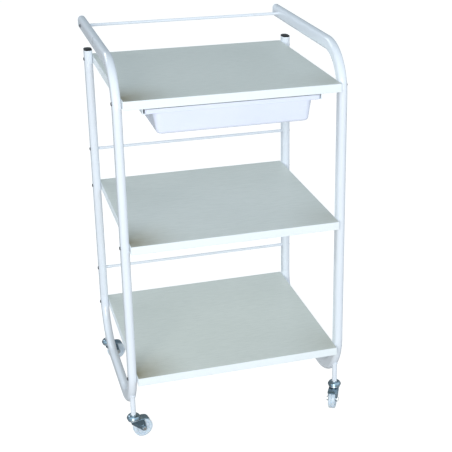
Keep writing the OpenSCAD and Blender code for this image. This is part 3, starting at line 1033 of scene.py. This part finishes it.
def stem(caster):
    """Caster stem: head under the fork, grip in the socket, and a bright collar between."""
    lo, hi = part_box(caster.name + "_stem")
    cup_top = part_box(caster.name + "_bearing_cup")[1].z
    head_r = 6 * MM
    head_h = 2 * MM
    collar_r = 6.5 * MM
    collar_h = 1.5 * MM
    ring_z = hi.z - 6 * MM
    corners = [
        (0, lo.z, 0),
        (head_r, lo.z, 0.7 * MM),
        (head_r, lo.z + head_h, 0),
        (STEM_R, lo.z + head_h, 0),
        (STEM_R, cup_top, 0),
        (collar_r, cup_top, 0.5 * MM),
        (collar_r, cup_top + collar_h, 0.5 * MM),
        (STEM_R, cup_top + collar_h, 0),
        (STEM_R, ring_z, 0),
        (STEM_R - 0.6 * MM, ring_z + 0.5 * MM, 0),
        (STEM_R - 0.6 * MM, ring_z + 1.5 * MM, 0),
        (STEM_R, ring_z + 2 * MM, 0),
        (STEM_R, hi.z, 1.2 * MM),
        (0, hi.z, 0),
    ]
    profile = fillet(corners, 3)
    turned(caster.name + "_stem", profile, caster.place, 40, "zinc_plated_steel")


def bearing_cup(caster):
    """Domed upper cup of the swivel, with its lip rolled out."""
    lo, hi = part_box(caster.name + "_bearing_cup")
    radius = (hi.x - lo.x) / 2
    wall = 1.6 * MM
    bore = STEM_R + FIT
    dome = 6.5 * MM
    roll = 0.9 * MM
    corners = [
        (bore, hi.z - wall - 0.6 * MM, 0),
        (bore, hi.z, 0.2 * MM),
        (radius - roll * 0.6, hi.z, dome),
        (radius - roll * 0.6, lo.z + 3.2 * roll, 0.8 * MM),
        (radius, lo.z + 2.2 * roll, 0.5 * MM),
        (radius, lo.z, 0.6 * MM),
        (radius - wall, lo.z, 0.3 * MM),
        (radius - wall, hi.z - wall - 0.6 * MM, dome - wall),
    ]
    profile = fillet(corners, 6)
    name = caster.name + "_bearing_cup"
    turned(name, profile, caster.place, 56, "zinc_dark", sharp=45, finish="cup")


def lower_race(caster):
    """Bright ring of the swivel bearing on top of the fork, grooved for its balls."""
    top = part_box(caster.name + "_fork")[1].z
    base = top - RACE_H
    inner = 8 * MM
    groove = 10.5 * MM
    corners = [
        (inner, base, 0),
        (RACE_R, base, 0.2 * MM),
        (RACE_R, top, 0.7 * MM),
        (groove + 1.1 * MM, top, 0.2 * MM),
        (groove, top - 0.7 * MM, 0.6 * MM),
        (groove - 1.3 * MM, top, 0.2 * MM),
        (inner, top, 0.2 * MM),
    ]
    profile = fillet(corners, 4)
    name = caster.name + "_lower_race"
    rides = {"body": caster.swivel, "nodes": [caster.name + "_fork"]}
    turned(name, profile, caster.place, 56, "zinc_plated_steel", **rides)


def leg_outline(caster, top):
    """Side view of a fork leg, anticlockwise in the caster's local x and z."""
    corners = [(CROWN_REAR, top, 0), (CROWN_REAR, top - CROWN_TAB, 2 * MM)]
    steps = 16
    for k in range(steps + 1):
        a = radians(-140 + 150 * k / steps)
        u = caster.trail + LEG_ROUND * cos(a)
        corners.append((u, caster.axle + LEG_ROUND * sin(a), 0))
    corners.append((caster.trail + 0.2 * MM, top, 0))
    return fillet(corners, 4)


def hood_section(centre, up, half):
    """Ring across the crown at a place of its middle line, its two upper edges rounded."""
    thick = CROWN_T / 2
    bend = 1.6 * MM
    points = [(-half, -thick)]
    for side, start in ((-1, pi), (1, pi / 2)):
        for k in range(5):
            a = start - pi / 2 * k / 4
            n = thick - bend + bend * sin(a)
            points.append((side * (half - bend) + bend * cos(a), n))
    points.append((half, -thick))
    across_y = Vector((0, 1, 0))
    return [centre + across_y * y + up * n for y, n in points]


def crown_and_hood(caster, under):
    """The crown's sheet from its rear edge forward, and down round the wheel to a round tip."""
    mid = under + CROWN_T / 2
    upright = Vector((0, 0, 1))
    rings = []
    for x in (CROWN_REAR, 0.0, caster.trail):
        rings.append(hood_section(Vector((x, 0, mid)), upright, LEG_OUT))
    radius = mid - caster.axle
    corner = 3 * MM
    turn = HOOD_TURN - corner / radius
    rows = [(turn * k / 8, 0.0) for k in range(1, 9)]
    for degrees in (22.5, 45, 67.5, 90):
        b = radians(degrees)
        rows.append((turn + corner / radius * sin(b), corner * (1 - cos(b))))
    for a, narrowing in rows:
        up = Vector((sin(a), 0, cos(a)))
        centre = Vector((caster.trail, 0, caster.axle)) + up * radius
        rings.append(hood_section(centre, up, LEG_OUT - narrowing))
    return rings


def fork_cutter(caster, under):
    """What is cut from the fork: the stem's and axle's holes, and a pressed panel in each leg."""
    bm = bmesh.new()
    reach = 2 * CROWN_R
    stem_hole = [(0, under - reach), (STEM_R + FIT, under - reach)]
    stem_hole += [(STEM_R + FIT, under + reach), (0, under + reach)]
    lathe(bm, stem_hole, segments=40)
    axle = Matrix.Translation((caster.trail, 0, caster.axle))
    bolt_hole = [(0, -reach), (AXLE_R + FIT, -reach), (AXLE_R + FIT, reach), (0, reach)]
    lathe(bm, bolt_hole, axle @ Matrix.Rotation(pi / 2, 4, "X"), 32)
    panel = fillet([(u * MM, under + v * MM, r * MM) for u, v, r in PANEL], 4)
    for sign in (-1, 1):
        rings = []
        for y, inset in ((LEG_OUT + 1 * MM, -0.4), (LEG_OUT, 0.0), (LEG_OUT - 0.5 * MM, 0.5)):
            outline = shrink(panel, inset * MM)
            rings.append([Vector((u, sign * y, v)) for u, v in outline])
        loft(bm, rings)
    return bm


def fork(caster):
    """Fork pressed from one sheet: round crown, hood over the wheel, and two panelled legs."""
    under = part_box(caster.name + "_fork")[1].z - RACE_H - CROWN_T
    sheet = bmesh.new()
    loft(sheet, crown_and_hood(caster, under))
    rest = bmesh.new()
    low, high = under + FIT, under + CROWN_T - FIT
    plate = [(0, low, 0), (CROWN_R, low, 0.4 * MM), (CROWN_R, high, 0.6 * MM), (0, high, 0)]
    lathe(rest, fillet(plate, 3), segments=56)
    solid = join(sheet, rest)
    legs = bmesh.new()
    outline = leg_outline(caster, under + 0.6 * MM)
    ease = 0.35 * MM
    skin = LEG_OUT - 0.01 * MM
    for sign in (-1, 1):
        rings = []
        for y, inset in ((LEG_IN, 0.0), (skin - ease, 0.0), (skin, ease)):
            rings.append([Vector((u, sign * y, v)) for u, v in shrink(outline, inset)])
        loft(legs, rings)
    solid = cut(join(solid, legs), fork_cutter(caster, under))
    bmesh.ops.transform(solid, matrix=caster.place, verts=solid.verts)
    make(caster.name + "_fork", solid, "zinc_dark", caster.swivel, sharp=32)


def hexagon(radius):
    """Outline of a hexagon with corners at radius."""
    turns = [pi / 3 * k for k in range(6)]
    return [(radius * cos(a), radius * sin(a), 0.25 * MM) for a in turns]


def hex_head(bm, matrix, radius, height):
    """Hexagonal head from local z = 0: washer face, flats, and a chamfered crown."""
    rows = ((0.93, 0.0), (0.95, 0.2 * MM), (1.0, 0.25 * MM))
    rows += ((1.0, height - 0.9 * MM), (0.93, height - 0.25 * MM), (0.8, height))
    rings = []
    for scale, z in rows:
        outline = fillet(hexagon(radius * scale), 2)
        rings.append([matrix @ Vector((x, y, z)) for x, y in outline])
    loft(bm, rings)


def axle_bolt(caster):
    """Hex-head bolt through the fork's legs, with a rounded thread end."""
    head_h = 3.2 * MM
    bm = bmesh.new()
    seat = caster.on_axle @ Matrix.Translation((0, 0, -LEG_OUT))
    hex_head(bm, seat @ Matrix.Rotation(pi, 4, "X"), HEX_R, head_h)
    end = LEG_OUT + head_h
    corners = [(0, -LEG_OUT, 0), (AXLE_R, -LEG_OUT, 0), (AXLE_R, end, 0.9 * MM), (0, end, 0)]
    lathe(bm, fillet(corners, 4), caster.on_axle, 32)
    make(caster.name + "_axle_bolt", bm, "zinc_plated_steel", caster.swivel, sharp=30)


def axle_nut(caster):
    """Lock nut: hexagon with a chamfered crown, bored for the bolt."""
    solid = bmesh.new()
    seat = caster.on_axle @ Matrix.Translation((0, 0, LEG_OUT))
    hex_head(solid, seat, HEX_R, 2.8 * MM)
    cutter = bmesh.new()
    bore = AXLE_R + 0.03 * MM
    low, high = -1 * MM, 5 * MM
    lathe(cutter, [(0, low), (bore, low), (bore, high), (0, high)], seat, 32)
    solid = cut(solid, cutter)
    make(caster.name + "_axle_nut", solid, "zinc_plated_steel", caster.swivel, sharp=30)


def hub_sleeve(caster):
    """Steel sleeve on the axle between the legs, chamfered at both ends."""
    half = LEG_IN - FIT
    outer = 4.6 * MM
    bore = AXLE_R + FIT
    ease = 0.25 * MM
    corners = [(bore, -half, 0), (outer, -half, ease), (outer, half, ease), (bore, half, 0)]
    profile = fillet(corners, 3)
    name = caster.name + "_hub_sleeve"
    turned(name, profile, caster.on_axle, 32, "zinc_plated_steel", body=caster.swivel)


def wheel(caster):
    """Nylon wheel: two rounded treads with a groove between, dished sides, and a hub."""
    half = 7.5 * MM
    r = caster.radius
    bore = 4.66 * MM
    hub = 7.4 * MM
    dish = 2.4 * MM
    rim = 15 * MM
    groove = 1.3 * MM
    side = [
        (bore, half, 0.3 * MM),
        (hub, half, 0.6 * MM),
        (hub + 0.6 * MM, half - dish, 0.8 * MM),
        (rim - 0.6 * MM, half - dish, 0.8 * MM),
        (rim, half - 0.4 * MM, 0.6 * MM),
        (rim + 1.4 * MM, half, 0.8 * MM),
        (r, half, 3.1 * MM),
    ]
    tread = [(r, groove, 0.4 * MM), (r - 1.3 * MM, groove * 0.3, 0.3 * MM)]
    upper = side + tread
    lower = [(u, -v, radius) for u, v, radius in reversed(upper)]
    profile = fillet(upper + lower, 5)
    name = caster.name + "_wheel"
    turned(name, profile, caster.on_axle, 72, "wheel_nylon", body=caster.roller)


# ---------- stage


def studio():
    """Plain pale floor, seen near white so that only soft contact shadows show on it."""
    ground = Finish("ground")
    tone = ground.mix(ground.noise(3, 2), (0.3, 0.3, 0.3, 1), (0.32, 0.32, 0.32, 1))
    rough = ground.remap(ground.noise(5, 2), 0, 1, 0.85, 0.95)
    ground.finish(tone, rough, ground.noise(40), 0.0001)
    ground.shader.inputs["Specular IOR Level"].default_value = 0.0
    ground.shader.inputs["Emission Color"].default_value = (1.0, 1.0, 1.0, 1.0)
    ray = ground.add("LightPath", {}).outputs
    seen, spread, mirrored = FLOOR_GLOW
    unseen = ground.remap(ray["Is Glossy Ray"], 0.0, 1.0, spread, mirrored)
    glow = ground.remap(ray["Is Camera Ray"], 0.0, 1.0, unseen, seen)
    ground.tree.links.new(glow, ground.shader.inputs["Emission Strength"])
    bm = bmesh.new()
    for x, y in ((-1, -1), (1, -1), (1, 1), (-1, 1)):
        bm.verts.new((FLOOR_REACH * x, FLOOR_REACH * y, 0.0))
    bm.faces.new(bm.verts)
    mesh = bpy.data.meshes.new("floor")
    bm.to_mesh(mesh)
    bm.free()
    mesh.materials.append(ground.material)
    placed("floor", mesh)


def area_light(name, place, size, power, colour):
    """Soft rectangular light at place, aimed at the trolley's middle."""
    data = bpy.data.lights.new(name, "AREA")
    data.shape = "RECTANGLE"
    data.size = size[0]
    data.size_y = size[1]
    data.energy = power
    data.color = colour
    obj = placed(name, data)
    obj.location = place
    aim = Vector(HEART) - Vector(place)
    obj.rotation_mode = "QUATERNION"
    obj.rotation_quaternion = aim.to_track_quat("-Z", "Y")
    obj.visible_camera = False


def world_light():
    """White room where seen; its light is weaker from overhead, and reflections dim behind."""
    world = bpy.data.worlds.new("studio")
    world.use_nodes = True
    room = Nodes(world.node_tree)
    facing = room.add("TexCoord", {}).outputs["Generated"]
    way = room.add("SeparateXYZ", {0: facing}).outputs
    ray = room.add("LightPath", {}).outputs
    spread = room.remap(way["Z"], 0.1, 0.75, *AMBIENT)
    mirrored = room.remap(way["Y"], -0.1, 0.75, *MIRRORED)
    unseen = room.remap(ray["Is Glossy Ray"], 0.0, 1.0, spread, mirrored)
    strength = room.remap(ray["Is Camera Ray"], 0.0, 1.0, unseen, 1.0)
    colour = room.mix(ray["Is Camera Ray"], AMBIENT_TINT, (1.0, 1.0, 1.0, 1.0))
    background = room.tree.nodes["Background"]
    room.tree.links.new(colour, background.inputs["Color"])
    room.tree.links.new(strength, background.inputs["Strength"])
    bpy.context.scene.world = world


def lights():
    """The room's light, a key from the front left and a rim from behind."""
    world_light()
    area_light("key", KEY_PLACE, KEY_SIZE, KEY_POWER, KEY_COLOUR)
    area_light("rim", RIM_PLACE, RIM_SIZE, RIM_POWER, RIM_COLOUR)


def camera():
    """The camera where the trolley is seen from its front left, a little above."""
    data = bpy.data.cameras.new("camera")
    data.lens = CAMERA_LENS
    data.sensor_width = CAMERA_SENSOR
    data.shift_x = CAMERA_SHIFT[0]
    data.shift_y = CAMERA_SHIFT[1]
    obj = placed("camera", data)
    obj.location = CAMERA_PLACE
    obj.rotation_euler = (pi / 2 - CAMERA_PITCH, 0.0, -CAMERA_YAW)
    bpy.context.scene.camera = obj


# ---------- the whole trolley


def carry_over(node, slot):
    """Gives a CAD node that stays its slot's finish."""
    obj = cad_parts[node]
    obj.data.materials.clear()
    obj.data.materials.append(FINISHES[slot])


def build():
    """Every piece of the trolley, group by group."""
    for side in SIDES:
        side_frame(side)
        post_cap(side)
        handle_plug(side)
        runner(side)
    for shelf in SHELVES:
        board(shelf)
        edge_band(shelf)
        shelf_screws(shelf)
    for node in RODS:
        guard_rod(node)
    rod_screws()
    runner_screws()
    drawer_tray()
    for name in CASTERS:
        caster = Caster(name)
        socket(name)
        stem(caster)
        bearing_cup(caster)
        lower_race(caster)
        fork(caster)
        axle_bolt(caster)
        axle_nut(caster)
        hub_sleeve(caster)
        wheel(caster)
    carry_over("swivel_balls", "zinc_plated_steel")


camera()
lights()
studio()
build()
bpy.context.scene.view_settings.view_transform = "Standard"
